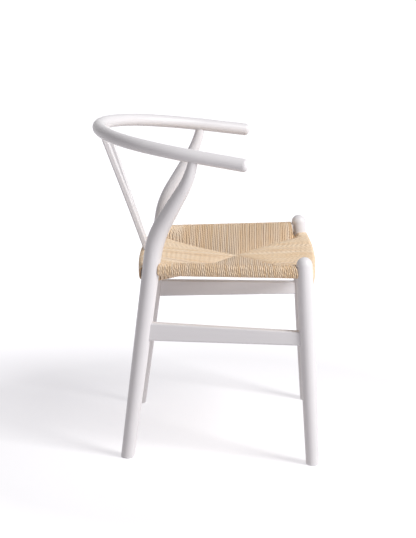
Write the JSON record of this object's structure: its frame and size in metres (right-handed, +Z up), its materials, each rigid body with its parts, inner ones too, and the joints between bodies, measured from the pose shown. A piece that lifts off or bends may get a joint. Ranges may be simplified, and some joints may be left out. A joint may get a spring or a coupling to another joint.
{
  "type": "armchair",
  "caption": "Open-backed dining armchair with turned legs, a bent round top rail that forms the arms, a forked back splat, stretchers and a seat of woven cord over wooden rails.",
  "frame": {"origin": "on the floor, under the middle of the chair's overall box", "axes": "+Z up, the sitter faces -Y, +X to the sitter's left"},
  "size_m": [0.5512, 0.5142, 0.7353],
  "materials": {
    "painted_wood": "white satin lacquer",
    "tack_steel": "plain steel",
    "seat_cord": "natural twisted cord, matt"
  },
  "bodies": {
    "root": {"top_rail": "painted_wood", "back_splat": "painted_wood", "front_leg_left": "painted_wood", "front_leg_right": "painted_wood", "back_leg_left": "painted_wood", "back_leg_right": "painted_wood", "seat_rail_left": "painted_wood", "seat_rail_right": "painted_wood", "seat_rail_front": "painted_wood", "seat_rail_back": "painted_wood", "side_stretcher_left": "painted_wood", "side_stretcher_right": "painted_wood", "front_stretcher": "painted_wood", "back_stretcher": "painted_wood", "cord_tacks": "tack_steel", "woven_seat": "seat_cord"}
  },
  "joints": []
}
